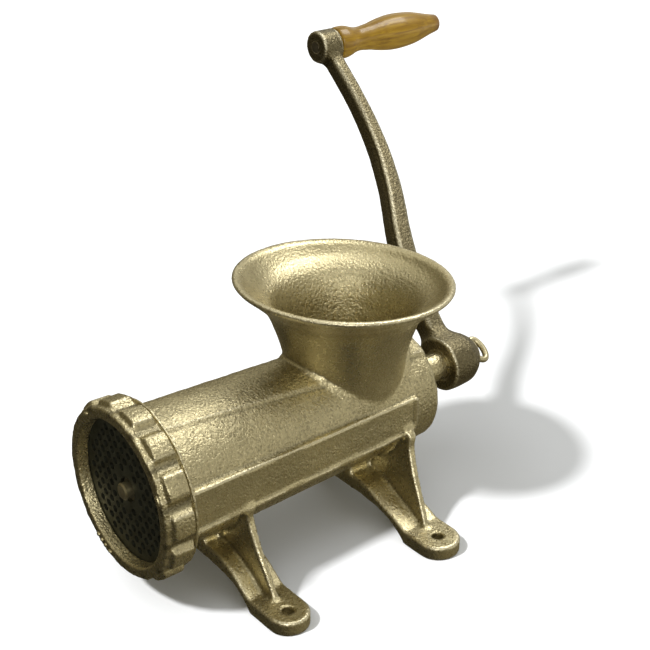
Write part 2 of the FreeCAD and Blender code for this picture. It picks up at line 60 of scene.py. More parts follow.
def node_box(node):
    """Lowest and highest corners of a CAD node, in millimetres."""
    low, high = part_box(node)
    return np.array(low) / MM, np.array(high) / MM


PLATE_LOW, PLATE_HIGH = node_box("hole_plate")
GRIP_LOW, GRIP_HIGH = node_box("wooden_grip")

SHAFT_Z = (PLATE_LOW[2] + PLATE_HIGH[2]) / 2
LIP_Y = PLATE_LOW[1] - 6.5
GRIP_X = (GRIP_LOW[0] + GRIP_HIGH[0]) / 2
GRIP_Z = (GRIP_LOW[2] + GRIP_HIGH[2]) / 2
MOUNTS = {mount["name"]: mount for mount in frame["record"]["mounts"]}
FOOT_X = MOUNTS["foot_bolts"]["dims"]["spacing_x_mm"] / 2
FOOT_Y = MOUNTS["foot_bolts"]["dims"]["spacing_y_mm"] / 2
FOOT_HOLE = MOUNTS["foot_bolts"]["dims"]["hole_r_mm"]


# --- distance fields ----------------------------------------------------------------------

def smooth_min(a, b, blend):
    """Union of two distances, filleted over a width."""
    overlap = np.maximum(blend - np.abs(a - b), 0) / blend
    return np.minimum(a, b) - overlap * overlap * blend / 4


def smooth_max(a, b, blend):
    """Intersection of two distances, rounded over a width."""
    return -smooth_min(-a, -b, blend)


def smooth_curve(points):
    """Function through (position, value) points with a smooth slope."""
    places, values = np.array(sorted(points), float).T
    slopes = np.gradient(values, places)

    def curve(position):
        position = np.clip(position, places[0], places[-1])
        index = np.clip(np.searchsorted(places, position) - 1, 0, len(places) - 2)
        step = places[index + 1] - places[index]
        t = (position - places[index]) / step
        rise = values[index + 1] - values[index]
        a, b = slopes[index] * step, slopes[index + 1] * step
        return values[index] + t * (a + t * (3 * rise - 2 * a - b + t * (a + b - 2 * rise)))

    return curve


def smooth_line(points, steps):
    """Points along a smooth line through a few corners."""
    corners = np.array(points, float)
    tangents = np.gradient(corners, axis=0)
    line = []
    for index in range(len(corners) - 1):
        p, q = corners[index], corners[index + 1]
        a, b = tangents[index], tangents[index + 1]
        for t in np.arange(steps) / steps:
            line.append(p + t * (a + t * (3 * (q - p) - 2 * a - b + t * (a + b - 2 * (q - p)))))
    return line + [corners[-1]]


def outline_distance(u, v, corners):
    """Signed distance from points to a closed outline, negative inside."""
    nearest = np.full(np.broadcast(u, v).shape, 1e9, np.float32)
    outside = np.ones(nearest.shape, bool)
    for (u0, v0), (u1, v1) in zip(corners, list(corners[1:]) + [corners[0]]):
        du, dv = u1 - u0, v1 - v0
        wu, wv = u - u0, v - v0
        t = np.clip((wu * du + wv * dv) / (du * du + dv * dv), 0, 1)
        nearest = np.minimum(nearest, (wu - du * t) ** 2 + (wv - dv * t) ** 2)
        crossing = (v >= v0) != (v >= v1)
        left = (du * wv > dv * wu) == (v1 > v0)
        outside ^= crossing & left
    return np.sqrt(nearest) * np.where(outside, 1, -1)


def rounded_max(a, b, radius):
    """Intersection of two distances, with its edge an arc of a radius."""
    a, b = a + radius, b + radius
    return np.minimum(np.maximum(a, b), 0) + np.hypot(np.maximum(a, 0), np.maximum(b, 0)) - radius


def slab(distance, across, half, rounding):
    """Distance to an outline given thickness, with rounded edges."""
    return rounded_max(distance, np.abs(across) - half, rounding)


def smooth_step(value):
    """0 below 0, 1 above 1, and a smooth rise between."""
    value = np.clip(value, 0, 1)
    return value * value * (3 - 2 * value)


# --- meshes -------------------------------------------------------------------------------

CUBE = np.array([(i, j, k) for i in (0, 1) for j in (0, 1) for k in (0, 1)])
CUBE_EDGES = [(a, b) for a in range(8) for b in range(a + 1, 8) if np.abs(CUBE[a] - CUBE[b]).sum() == 1]


def net_vertices(values, cells):
    """One point in each cell, at the mean of where the surface crosses its edges."""
    corner_values = np.stack([values[tuple((cells + offset).T)] for offset in CUBE], 1)
    total = np.zeros((len(cells), 3))
    count = np.zeros(len(cells))
    for a, b in CUBE_EDGES:
        crossed = (corner_values[:, a] < 0) != (corner_values[:, b] < 0)
        difference = np.where(crossed, corner_values[:, a] - corner_values[:, b], 1)
        t = corner_values[:, a] / difference
        total += np.where(crossed[:, None], CUBE[a] + t[:, None] * (CUBE[b] - CUBE[a]), 0)
        count += crossed
    return cells + total / count[:, None]


def net_faces(inside, index):
    """Quads across every grid edge that crosses the surface."""
    quads = []
    for axis in range(3):
        first, second = np.moveaxis(inside, axis, 0)[:-1], np.moveaxis(inside, axis, 0)[1:]
        cells = np.moveaxis(index, axis, 0)
        crossed = (first != second)[:, 1:-1, 1:-1]
        i, j, k = np.nonzero(crossed)
        ring = np.stack([cells[i, j, k], cells[i, j + 1, k], cells[i, j + 1, k + 1], cells[i, j, k + 1]], 1)
        leaving = first[:, 1:-1, 1:-1][i, j, k]
        if axis == 1:
            leaving = ~leaving
        quads.append(np.where(leaving[:, None], ring, ring[:, ::-1]))
    return np.concatenate(quads)


def gradient(field, points, step=0.2):
    """Slope of a distance field at points."""
    slopes = []
    for axis in range(3):
        offset = np.zeros(3)
        offset[axis] = step
        slopes.append((field(*(points + offset).T) - field(*(points - offset).T)) / (2 * step))
    return np.stack(slopes, 1)


def settle(field, points, rounds):
    """Move points onto the surface of a field."""
    for _ in range(rounds):
        slope = gradient(field, points)
        length = np.maximum((slope ** 2).sum(1), 0.05)
        points = points - (field(*points.T) / length).clip(-1.5, 1.5)[:, None] * slope
    return points


def relax(points, quads):
    """Mean of each point's neighbours."""
    a = np.concatenate([quads[:, n] for n in range(4)])
    b = np.concatenate([quads[:, (n + 1) % 4] for n in range(4)])
    count = np.bincount(a, minlength=len(points)) + np.bincount(b, minlength=len(points))
    sums = [np.bincount(a, points[b, n], len(points)) + np.bincount(b, points[a, n], len(points))
            for n in range(3)]
    return np.stack(sums, 1) / count[:, None]


def field_surface(field, low, high, voxel):
    """Points and quads on the surface of a distance field inside a box."""
    axes = [np.arange(a, b + voxel, voxel) for a, b in zip(low, high)]
    grid = np.meshgrid(*axes, indexing="ij", sparse=True)
    values = field(*grid)
    inside = values < 0
    count = sum(inside[i:inside.shape[0] - 1 + i, j:inside.shape[1] - 1 + j, k:inside.shape[2] - 1 + k]
                .astype(np.int8) for i, j, k in CUBE)
    cells = np.argwhere((count > 0) & (count < 8))
    index = np.full(count.shape, -1)
    index[tuple(cells.T)] = np.arange(len(cells))
    points = np.array([axis[0] for axis in axes]) + voxel * net_vertices(values, cells)
    quads = net_faces(inside, index)
    for _ in range(2):
        points = settle(field, points, 1)
        points = points + 0.5 * (relax(points, quads) - points)
    return settle(field, points, 3), quads


def edge_sharpness(field, points, reach):
    """How convex the surface is about each point: 1 on a sharp edge, -1 in a sharp corner."""
    total = -6 * field(*points.T)
    for axis in range(3):
        for sign in (-1, 1):
            offset = np.zeros(3)
            offset[axis] = sign * reach
            total = total + field(*(points + offset).T)
    return np.clip(total / reach, -1, 1)


def roughened(points, normals, swell, size, keep):
    """Points moved along their normals as an uneven casting skin; keep is 0 where they stay."""
    heights = np.array([noise.fractal(Vector(point) / size, 1.0, 2.1, 3) for point in points])
    return points + normals * (heights * swell * keep)[:, None]


def add_attribute(piece, name, values):
    """Store one number at each point of an object's mesh."""
    attribute = piece.data.attributes.new(name, "FLOAT", "POINT")
    attribute.data.foreach_set("value", np.asarray(values, np.float32))


def make_object(name, points, faces, material, body, replaces=(), edge=None):
    """Smooth-shaded mesh object from points in millimetres, riding on a body."""
    faces = faces.tolist() if isinstance(faces, np.ndarray) else faces
    mesh = bpy.data.meshes.new(name)
    mesh.from_pydata((np.asarray(points) * MM).tolist(), [], faces)
    mesh.shade_smooth()
    mesh.update()
    piece = bpy.data.objects.new(name, mesh)
    if edge is not None:
        add_attribute(piece, "edge", edge)
    bpy.context.scene.collection.objects.link(piece)
    mesh.materials.append(material)
    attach(piece, body)
    if replaces:
        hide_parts(*replaces)
    return piece


def lathe(outline, segments, x=0.0, z=None, shape=None):
    """Points and faces of a closed (station, radius) outline turned about an axis along the shaft."""
    z = SHAFT_Z if z is None else z
    outline = np.array(outline, float)
    turns = np.arange(segments) * 2 * math.pi / segments
    stations, angles = np.meshgrid(outline[:, 0], turns)
    radii = np.broadcast_to(outline[:, 1], stations.shape)
    if shape:
        stations, radii = shape(angles, stations, radii)
    points = np.stack([x + radii * np.cos(angles), stations + LIP_Y, z + radii * np.sin(angles)], -1)
    count = len(outline)
    i, j = np.meshgrid(np.arange(segments), np.arange(count), indexing="ij")
    i, j = i.ravel(), j.ravel()
    after, beside = (i + 1) % segments, (j + 1) % count
    faces = np.stack([i * count + j, i * count + beside, after * count + beside, after * count + j], 1)
    return points.reshape(-1, 3), faces


def joined_poles(points, faces):
    """The same surface with points at one place made one, and faces with no area left out."""
    keys = np.round(points, 4)
    unique, first, inverse = np.unique(keys, axis=0, return_index=True, return_inverse=True)
    inverse = inverse.reshape(-1)
    kept = []
    for face in inverse[faces].tolist():
        corners = [corner for n, corner in enumerate(face) if corner != face[n - 1]]
        if len(set(corners)) > 2:
            kept.append(corners)
    return points[first], kept


# --- materials ----------------------------------------------------------------------------

class Surface:
    """A node material built up one node at a time."""

    def __init__(self, name):
        self.material = bpy.data.materials.new(name)
        self.material.use_nodes = True
        self.tree = self.material.node_tree
        self.shader = self.tree.nodes["Principled BSDF"]
        self.place = self.add("ShaderNodeTexCoord").outputs["Object"]

    def add(self, kind, inputs=(), **settings):
        node = self.tree.nodes.new(kind)
        for key, value in settings.items():
            setattr(node, key, value)
        for key, value in dict(inputs).items():
            self.feed(node.inputs[key], value)
        return node

    def feed(self, socket, value):
        if isinstance(value, bpy.types.NodeSocket):
            self.tree.links.new(value, socket)
        else:
            socket.default_value = value

    def noise(self, size_mm, detail=2.0, roughness=0.5, place=None, distortion=0.0):
        node = self.add("ShaderNodeTexNoise", {
            "Vector": place or self.place, "Scale": 1 / (size_mm * MM), "Detail": detail,
            "Roughness": roughness, "Distortion": distortion})
        return node.outputs["Fac"]

    def ramp(self, factor, stops):
        node = self.add("ShaderNodeValToRGB", {"Fac": factor})
        elements = node.color_ramp.elements
        while len(elements) < len(stops):
            elements.new(0.5)
        for element, (position, colour) in zip(elements, stops):
            element.position = position
            element.color = (*colour, 1)
        return node.outputs["Color"]

    def span(self, value, low, high, to_low, to_high):
        return self.add("ShaderNodeMapRange", {
            "Value": value, "From Min": low, "From Max": high, "To Min": to_low,
            "To Max": to_high}).outputs["Result"]

    def math(self, operation, a, b):
        return self.add("ShaderNodeMath", {0: a, 1: b}, operation=operation).outputs["Value"]

    def mix(self, factor, a, b):
        node = self.add("ShaderNodeMix", {"Factor": factor}, data_type="RGBA")
        for socket, value in ((node.inputs[6], a), (node.inputs[7], b)):
            self.feed(socket, (*value, 1) if isinstance(value, tuple) and len(value) == 3 else value)
        return node.outputs[2]

    def stretched(self, share):
        node = self.add("ShaderNodeMapping", {"Vector": self.place, "Scale": (1.0, share, 1.0)})
        return node.outputs["Vector"]

    def bump(self, height, depth_mm, strength=1.0, under=None):
        inputs = {"Height": height, "Distance": depth_mm * MM, "Strength": strength}
        if under is not None:
            inputs["Normal"] = under
        return self.add("ShaderNodeBump", inputs).outputs["Normal"]

    def attribute(self, name):
        return self.add("ShaderNodeAttribute", attribute_name=name).outputs["Fac"]

    def finish(self, **inputs):
        for key, value in inputs.items():
            socket = self.shader.inputs[key.replace("_", " ")]
            self.feed(socket, (*value, 1) if isinstance(value, tuple) and len(value) == 3 else value)
        return self.material


def cast_metal(name, tone=(0.60, 0.53, 0.325), grain=1.0):
    """Tinned iron casting: sand-cast grain, worn bright on its edges, and painted shade that darkens its
    concave corners.
    """
    skin = Surface(name)
    edge = skin.attribute("edge")
    polish = skin.attribute("polish")
    cloud = skin.noise(30, 3, 0.5)
    sand = skin.noise(1.6, 2, 0.6)
    rough_sand = skin.math("SUBTRACT", 1.0, polish)
    colour = skin.ramp(cloud, [(0.35, tuple(0.86 * c for c in tone)), (0.65, tone)])
    pits = skin.math("MULTIPLY", skin.span(sand, 0.52, 0.34, 0, 0.55), rough_sand)
    colour = skin.mix(pits, colour, tuple(0.35 * c for c in tone))
    colour = skin.mix(skin.span(edge, 0.25, 0.9, 0, 0.6), colour, (0.80, 0.74, 0.55))
    # Painted shade: concave corners and creases are darkened towards a fifth of the tone.
    colour = skin.mix(skin.span(edge, -0.2, -0.9, 0, 0.75), colour, tuple(0.22 * c for c in tone))
    rough = skin.span(skin.noise(3.0, 3, 0.7), 0.3, 0.7, 0.23, 0.35)
    swells = skin.bump(skin.noise(4.5, 2, 0.5), 0.3 * grain, 0.35)
    strength = skin.math("ADD", skin.math("MULTIPLY", rough_sand, 0.7), 0.3)
    fine = skin.bump(sand, 0.90 * grain, strength, swells)
    return skin.finish(Base_Color=colour, Roughness=rough, Normal=fine, Metallic=0.97)


def ground_steel(name, colour, roughness, grain_mm=0.5):
    """Turned or ground steel with faint circular marks and stains."""
    skin = Surface(name)
    stain = skin.noise(9, 4, 0.65)
    grain = skin.noise(grain_mm, 2, 0.7)
    tone = skin.ramp(stain, [(0.32, tuple(0.55 * c for c in colour)), (0.62, colour)])
    rough = skin.span(grain, 0.3, 0.7, roughness - 0.08, roughness + 0.12)
    return skin.finish(Base_Color=tone, Roughness=rough, Metallic=0.9,
                       Normal=skin.bump(grain, 0.05, 0.6))


def varnished_wood(name):
    """Straight-grained pale hardwood under varnish, with the grain along the grip."""
    skin = Surface(name)
    stretch = skin.stretched(0.07)
    streaks = skin.noise(2.2, 5, 0.6, place=stretch, distortion=0.6)
    bands = skin.noise(7.5, 2, 0.5, place=stretch)
    tone = skin.ramp(streaks, [(0.30, (0.17, 0.085, 0.002)), (0.48, (0.27, 0.150, 0.004)),
                               (0.68, (0.37, 0.220, 0.007))])
    tone = skin.mix(skin.span(bands, 0.42, 0.66, 0.0, 0.5), tone, (0.21, 0.11, 0.003))
    pore = skin.noise(0.45, 2, 0.6, place=skin.stretched(0.12))
    tone = skin.mix(skin.span(pore, 0.60, 0.75, 0.0, 0.55), tone, (0.20, 0.09, 0.02))
    end = skin.attribute("end_grain")
    tone = skin.mix(skin.span(end, 0.0, 1.0, 0.0, 0.85), tone, (0.16, 0.075, 0.02))
    return skin.finish(Base_Color=tone, Roughness=0.42, Normal=skin.bump(pore, 0.10, 0.5),
                       Coat_Weight=0.5, Coat_Roughness=0.12, Specular_IOR_Level=0.3)


def dull_fibre(name):
    """Pressed red fibre."""
    skin = Surface(name)
    speck = skin.noise(0.8, 3, 0.6)
    tone = skin.ramp(speck, [(0.35, (0.16, 0.045, 0.02)), (0.65, (0.34, 0.11, 0.05))])
    return skin.finish(Base_Color=tone, Roughness=0.75, Normal=skin.bump(speck, 0.06, 0.5))


IRON = cast_metal("cast_iron_body")
NUT_IRON = cast_metal("cast_iron_nut", grain=0.7)
# The crank's iron is the body's iron at a third of its tone: painted shade that darkens the whole crank.
CRANK_IRON = cast_metal("cast_iron_crank", tone=(0.20, 0.17, 0.098), grain=0.9)
WORM_IRON = cast_metal("cast_iron_worm", grain=0.5)
PLATE_STEEL = ground_steel("plate_steel", (0.10, 0.105, 0.075), 0.42)
KNIFE_STEEL = ground_steel("knife_steel", (0.36, 0.35, 0.32), 0.34)
PIN_STEEL = ground_steel("pin_steel", (0.40, 0.35, 0.21), 0.36)
RING_STEEL = ground_steel("ring_steel", (0.56, 0.50, 0.32), 0.30)
DARK_STEEL = ground_steel("dark_steel", (0.15, 0.13, 0.085), 0.40)
BRONZE = ground_steel("bronze", (0.50, 0.34, 0.15), 0.36)
FIBRE = dull_fibre("red_fibre")
WOOD = varnished_wood("grip_wood")

NODE_MATERIALS = {
    "plate_key": PIN_STEEL, "rear_bush": BRONZE, "hole_plate": PLATE_STEEL, "cross_knife": KNIFE_STEEL,
    "feed_worm": WORM_IRON, "worm_stud": PIN_STEEL, "thrust_washer": FIBRE, "clamp_washer": PIN_STEEL,
    "grip_spindle": DARK_STEEL, "grip_washer": DARK_STEEL,
}


def dress_cad_nodes():
    """Give every CAD node that stays its material."""
    for node, material in NODE_MATERIALS.items():
        for slot in frame["nodes"][node].material_slots:
            slot.material = material


# --- body casting -------------------------------------------------------------------------

CASTING_VOXEL = 1.66
HOPPER_RIM_Z = 165.7
RIM_RISE = 1.3
HOPPER_LEAN = math.tan(math.radians(3.3))
HOPPER_OUTER = smooth_curve([
    (6, 74.7), (0, 72.7), (-3, 70.4), (-6, 66.6), (-10, 62.1), (-14, 57.5), (-18, 53.6), (-22, 50.7),
    (-26, 48.7), (-31, 46.8), (-38, 44.4), (-46, 42.2), (-54, 40.4), (-66, 39.2), (-78, 38.8), (-92, 38.4)])
HOPPER_INNER = smooth_curve([
    (8, 66.5), (0, 63.6), (-3, 61.0), (-7, 56.9), (-11, 52.6), (-15, 48.8), (-19, 45.9), (-24, 43.4),
    (-30, 41.2), (-38, 39.2), (-47, 37.3), (-58, 35.9), (-72, 34.8), (-92, 33.5)])
FLARE_SCALE = 0.82
HOPPER_FOOT_Z = 80.0
THROAT_END_Z = 74.0
CAP_HEIGHT = 1.25
CAP_EDGE = 2.0
CAP_HALF = smooth_curve([(20, 17.9), (48, 19.2), (76, 20.3), (105, 21.4), (144, 23.3), (240, 24.0)])
BARREL_RADIUS = smooth_curve([(0, 46.6), (30, 45.5), (130, 42.2), (240, 38.7)])
BARREL_WALL = 4.3
BARREL_START = 20.0
BARREL_END = 225.6
COLLAR_RADIUS = 51.2
THREAD_PITCH = 4
BEAD_RADIUS = 49.4
BOSS_RADIUS = 15.8
BOSS_END = 241.0
BORE_END = 216.0
POCKET_RADIUS = 49.2
POCKET_END = 16.6
REAR_BORE_RADIUS = 12.55
SAND_START = 21
BAND_START = 21.0
BAND_END = 203.5
BAND_LIP = 1.1
BAND_X = smooth_curve([(20, 47.9), (40, 47.2), (120, 44.2), (210, 40.9)])
BAND_LOW = smooth_curve([(20, 59.5), (120, 60.2), (210, 60.8)])
BAND_HIGH = smooth_curve([(20, 89.0), (120, 87.4), (210, 86.2)])

LEG_TOP = {
    "front": [(0, 26.0), (14, 25.9), (28.4, 25.1), (35.9, 24.0), (44.2, 20.7), (51.4, 17.0), (57.4, 12.7),
              (62.4, 9.9), (68, 9.5), (110, 9.5)],
    "rear": [(0, 27.0), (14, 26.9), (25.2, 26.3), (34.5, 23.6), (42.7, 19.9), (52.8, 16.3), (62.8, 12.4),
             (67.9, 10.0), (74, 9.5), (110, 9.5)],
}
LEG_UNDER = {
    "front": [(110, 0), (65.5, 0), (63.0, 1.2), (59.0, 5.2), (49.0, 11.8), (40, 14.0), (28, 15.4),
              (12, 16.3), (0, 16.5)],
    "rear": [(110, 0), (69.5, 0), (67.0, 1.2), (63.0, 5.0), (52.0, 11.2), (42, 14.0), (28, 15.6),
             (12, 16.6), (0, 17.0)],
}
WEB_EDGE = [(46.0, 64.0), (47.6, 61.0), (48.3, 54.0), (51.5, 46.7), (55.7, 38.5), (61.1, 30.0),
            (67.0, 20.7), (71.8, 13.0), (74.5, 8.5)]
WEB_INNER = [(66.0, 5.5), (57.0, 9.0), (47.0, 15.5), (33.0, 18.0), (0.0, 20.0), (0.0, 72.0), (34.0, 72.0)]


def hopper_coordinates(x, y, z):
    """Distance from the hopper's leaning axis and height from its rim plane."""
    flare = smooth_step((z - 112) / 40)
    middle = LIP_Y + 174.7 - 1.2 * flare
    return np.hypot(x, y - middle), z - HOPPER_RIM_Z + HOPPER_LEAN * (y - middle) * flare


def leg_field(side, y, z, end, width, web_low, web_high, wall):
    """One pair of legs: arched strip with its feet, upright webs and the short wall under the barrel."""
    outline = smooth_line(LEG_TOP[end], 3) + smooth_line(LEG_UNDER[end], 3)
    centre = FOOT_Y if end == "rear" else -FOOT_Y
    profile = outline_distance(side, z, outline)
    plan = np.hypot(np.maximum(side - FOOT_X, 0), y - centre) - width / 2
    strip = rounded_max(profile, plan, 1.3)
    hole = np.hypot(side - FOOT_X, y - centre) - FOOT_HOLE + 0.5
    strip = np.maximum(strip, -hole)
    middle = rounded_max(np.maximum(side - wall, z - 42), plan, 1.3)
    strip = smooth_min(strip, np.maximum(middle, 20 - z), 5.0)
    web_outline = smooth_line(WEB_EDGE, 3) + [np.array(corner) for corner in WEB_INNER]
    upright = np.clip((z - 10) / 52, 0, 1)
    web_y = web_low + (web_high - web_low) * upright + LIP_Y
    web = slab(outline_distance(side, z, web_outline), y - web_y, 1.9 + 0.8 * upright, 0.8)
    return smooth_min(strip, web, 3.0)


def band_field(side, s, z):
    """Flat raised band along the barrel's side, with a lip along its lower edge and round its rear end."""
    edge = rounded_max(BAND_LOW(s) - z, s - BAND_END, 8.0)
    top_and_start = np.maximum(z - BAND_HIGH(s), BAND_START - s)
    face = side - BAND_X(s)
    plate = rounded_max(np.maximum(edge, top_and_start), face, 0.7)
    lip = rounded_max(np.maximum(np.abs(edge + 1.5) - 1.5, top_and_start), face - BAND_LIP, 0.8)
    return smooth_min(plate, lip, 1.2)


def barrel_field(s, radius, wall):
    """Tapered barrel, with the threaded collar and bead at its mouth and the boss at its rear."""
    barrel = smooth_max(wall, s - BARREL_END, 5.0)
    barrel = smooth_max(barrel, BARREL_START - s, 1.0)
    thread = 0.9 * np.abs((s - 9) % THREAD_PITCH - 2)
    collar = smooth_max(radius - COLLAR_RADIUS + thread, np.abs(s - 14.2) - 5.2, 0.8)
    bead = rounded_max(radius - BEAD_RADIUS, np.abs(s - 21.7) - 1.5, 1.1)
    boss = smooth_max(radius - BOSS_RADIUS, s - BOSS_END, 1.6)
    boss = np.maximum(boss, 150 - s)
    return smooth_min(smooth_min(barrel, boss, 5.0), smooth_min(collar, bead, 0.8), 1.6)


def hopper_field(reach, height, z):
    """Flared hopper, solid down to its foot inside the barrel."""
    flare = (reach - HOPPER_OUTER(height)) * FLARE_SCALE
    return np.maximum(rounded_max(flare, height - RIM_RISE, 3.8), HOPPER_FOOT_Z - z)


def crest_field(side, z, wall, hopper):
    """Raised seam where the hopper meets the barrel: none at the top, and thinner low on the sides."""
    radius = 1.5 * smooth_step((side - 4) / 12) * (1 - 0.5 * smooth_step((side - 28) / 10))
    return np.maximum(np.hypot(wall, hopper - 0.4) - radius, HOPPER_FOOT_Z - z)


def hollowed(body, s, radius, reach, height, z):
    """The casting with its bore, the pocket at its mouth, the hopper's throat and the rear bore cut out."""
    bore = np.maximum(radius - BARREL_RADIUS(s) + BARREL_WALL, s - BORE_END)
    pocket = np.maximum(radius - POCKET_RADIUS, s - POCKET_END)
    throat = np.maximum((reach - HOPPER_INNER(height)) * FLARE_SCALE, THROAT_END_Z - z)
    rear_bore = np.maximum(radius - REAR_BORE_RADIUS, 214.0 - s)
    body = smooth_max(body, -smooth_min(bore, throat, 2.0), 1.0)
    body = smooth_max(body, -throat, 1.0 + 8.0 * smooth_step((z - 150) / 8))
    body = smooth_max(body, -pocket, 0.8)
    return smooth_max(body, -rear_bore, 0.8)


def casting_field(x, y, z):
    """Distance to the body casting's surface."""
    s = y - LIP_Y
    side = np.abs(x)
    radius = np.hypot(x, z - SHAFT_Z)
    cap = np.where(z > SHAFT_Z, CAP_HEIGHT * smooth_step((CAP_HALF(s) - side) / CAP_EDGE + 0.5), 0)
    wall = radius - BARREL_RADIUS(s) - cap
    reach, height = hopper_coordinates(x, y, z)
    hopper = hopper_field(reach, height, z)
    body = smooth_min(barrel_field(s, radius, wall), hopper, 3.0)
    body = smooth_min(body, crest_field(side, z, wall, hopper), 2.2)
    body = smooth_min(body, band_field(side, s, z), 1.6)
    body = smooth_min(body, leg_field(side, y, z, "front", 27.0, 61.8, 62.5, 16.5), 3.0)
    body = smooth_min(body, leg_field(side, y, z, "rear", 29.0, 185.0, 194.5, 13.5), 4.0)
    return hollowed(body, s, radius, reach, height, z)


def casting_wear(points):
    """Where points lie on the outside of the barrel and on the inside of the hopper, 0 to 1 each."""
    s = points[:, 1] - LIP_Y
    reach, height = hopper_coordinates(*points.T)
    neck = reach - HOPPER_OUTER(height)
    wall = np.hypot(points[:, 0], points[:, 2] - SHAFT_Z) - BARREL_RADIUS(s)
    on_barrel = np.clip(2.2 - np.abs(wall), 0, 1) * np.clip(neck, 0, 1)
    near_throat = np.clip(2.0 - np.abs(reach - HOPPER_INNER(height)), 0, 1)
    return on_barrel, near_throat * np.clip((points[:, 2] - 110) / 10, 0, 1)


def add_casting():
    """Body casting with its sand-cast skin."""
    low, high = (-103, LIP_Y + 5, -4), (103, LIP_Y + 246, 176)
    points, quads = field_surface(casting_field, low, high, CASTING_VOXEL)
    slope = gradient(casting_field, points)
    normals = slope / np.maximum(np.linalg.norm(slope, axis=1), 1e-6)[:, None]
    edge = edge_sharpness(casting_field, points, 1.6)
    bolt = np.hypot(np.abs(points[:, 0]) - FOOT_X, np.abs(points[:, 1]) - FOOT_Y)
    edge = edge * np.clip((bolt - 6.5) / 2, 0, 1)
    on_barrel, in_hopper = casting_wear(points)
    polish = 0.72 - 0.72 * np.maximum(on_barrel, 0.8 * in_hopper)
    behind_bead = np.clip((points[:, 1] - LIP_Y - SAND_START) / 4, 0, 1)
    keep = behind_bead * np.clip(points[:, 2] / 1.5, 0, 1) * (0.35 + 0.65 * on_barrel)
    points = roughened(points, normals, 0.28, 7.0, keep)
    skin = make_object("casting_skin", points, quads, IRON, "frame", ["body_casting"], edge)
    add_attribute(skin, "polish", polish)
    return skin


# --- ring nut -----------------------------------------------------------------------------

NUT_LUGS = 14
NUT_FIRST_GROOVE = math.radians(15.0)
GROOVE_HALF = math.radians(4.6)
LUG_RADIUS = 57.5
NUB_RADIUS = 51.2
NUB_HEIGHT = 1.3
LIP_FACE = -1.1
# Angle in degrees, half width across the lip and half length along it.
NUBS = [(126.6, 1.8, 2.8), (22.0, 2.0, 4.2), (238.0, 1.6, 1.8), (243.0, 1.1, 1.4), (248.0, 1.5, 1.7),
        (254.0, 1.0, 1.9)]


def groove_offset(angles):
    """Angle from the nearest of the grooves between the nut's lugs."""
    pitch = 2 * math.pi / NUT_LUGS
    return (angles - NUT_FIRST_GROOVE + pitch / 2) % pitch - pitch / 2


def nut_shape(angles, stations, radii):
    """Cut grooves between the lugs, which end short of the nut's rear bead."""
    groove = np.exp(-(np.abs(groove_offset(angles)) / GROOVE_HALF) ** 3.4)
    outward = np.clip(radii - 54.5, 0, 1) * (stations < 18.8)
    radii = radii - outward * groove * np.minimum(4.0, np.maximum(radii - 53.4, 0))
    return stations, radii


def rounded_outline(corners, rounding, steps):
    """Closed outline with each corner replaced by an arc-like bend."""
    corners = [np.array(corner, float) for corner in corners]
    outline = []
    for index, corner in enumerate(corners):
        before, after = corners[index - 1], corners[(index + 1) % len(corners)]
        back = (before - corner) / np.linalg.norm(before - corner)
        ahead = (after - corner) / np.linalg.norm(after - corner)
        reach = min(rounding, 0.45 * np.linalg.norm(before - corner), 0.45 * np.linalg.norm(after - corner))
        start, end = corner + back * reach, corner + ahead * reach
        for t in np.linspace(0, 1, steps + 1):
            outline.append((1 - t) ** 2 * start + 2 * t * (1 - t) * corner + t * t * end)
    return outline


def nut_edge(points, distance):
    """Bright wear and painted shade about each point: worn bright on the lugs' shoulders and the rear bead,
    with painted shade in the grooves.
    """
    angles = np.arctan2(points[:, 2] - SHAFT_Z, points[:, 0])
    offset = np.degrees(np.abs(groove_offset(angles)))
    # The negative term is painted shade that darkens the middle of each groove.
    shoulder = np.exp(-((offset - 5.8) / 1.1) ** 2) - 1.3 * np.exp(-(offset / 3.0) ** 2)
    on_lugs = (distance > 53) & (points[:, 1] < LIP_Y + 18.4)
    return np.where(on_lugs, 0.7 * shoulder, 0.5 * (points[:, 1] > LIP_Y + 18.9) * (distance > 54))


def add_ring_nut():
    """Ring nut with lugs, a rear bead, a lip in front and small casting nubs on the lip's face."""
    outline = rounded_outline([
        (6.4, 45.7), (0.0, 47.2), (LIP_FACE, 48.0), (LIP_FACE, 53.6), (-0.2, 54.4), (2.4, 54.5),
        (3.9, LUG_RADIUS), (17.2, LUG_RADIUS), (18.7, 53.6), (19.1, 53.6), (19.3, 55.2), (20.8, 55.0),
        (20.8, 52.0), (8.9, 52.0), (8.9, 49.6), (6.4, 49.6)], 1.0, 5)
    points, faces = lathe(outline, NUT_LUGS * (36), shape=nut_shape)
    outward = points - np.array([0, 0, SHAFT_Z])
    outward[:, 1] = 0
    distance = np.linalg.norm(outward, axis=1)
    outward /= distance[:, None]
    keep = np.clip((distance - 52.2) / 2, 0, 1)
    points = roughened(points, outward, 0.35, 5.0, keep)
    points = roughened(points, outward, 0.5, 16.0, keep)
    forward = np.clip((LIP_Y + 1.0 - points[:, 1]) / 1.5, 0, 1)
    points = roughened(points, np.tile([0.0, -1.0, 0.0], (len(points), 1)), 0.25, 5.0, forward)
    edge = nut_edge(points, distance)
    nut = make_object("ring_nut_skin", points, faces, NUT_IRON, "nut", ["ring_nut"], edge)
    add_nubs()
    return nut


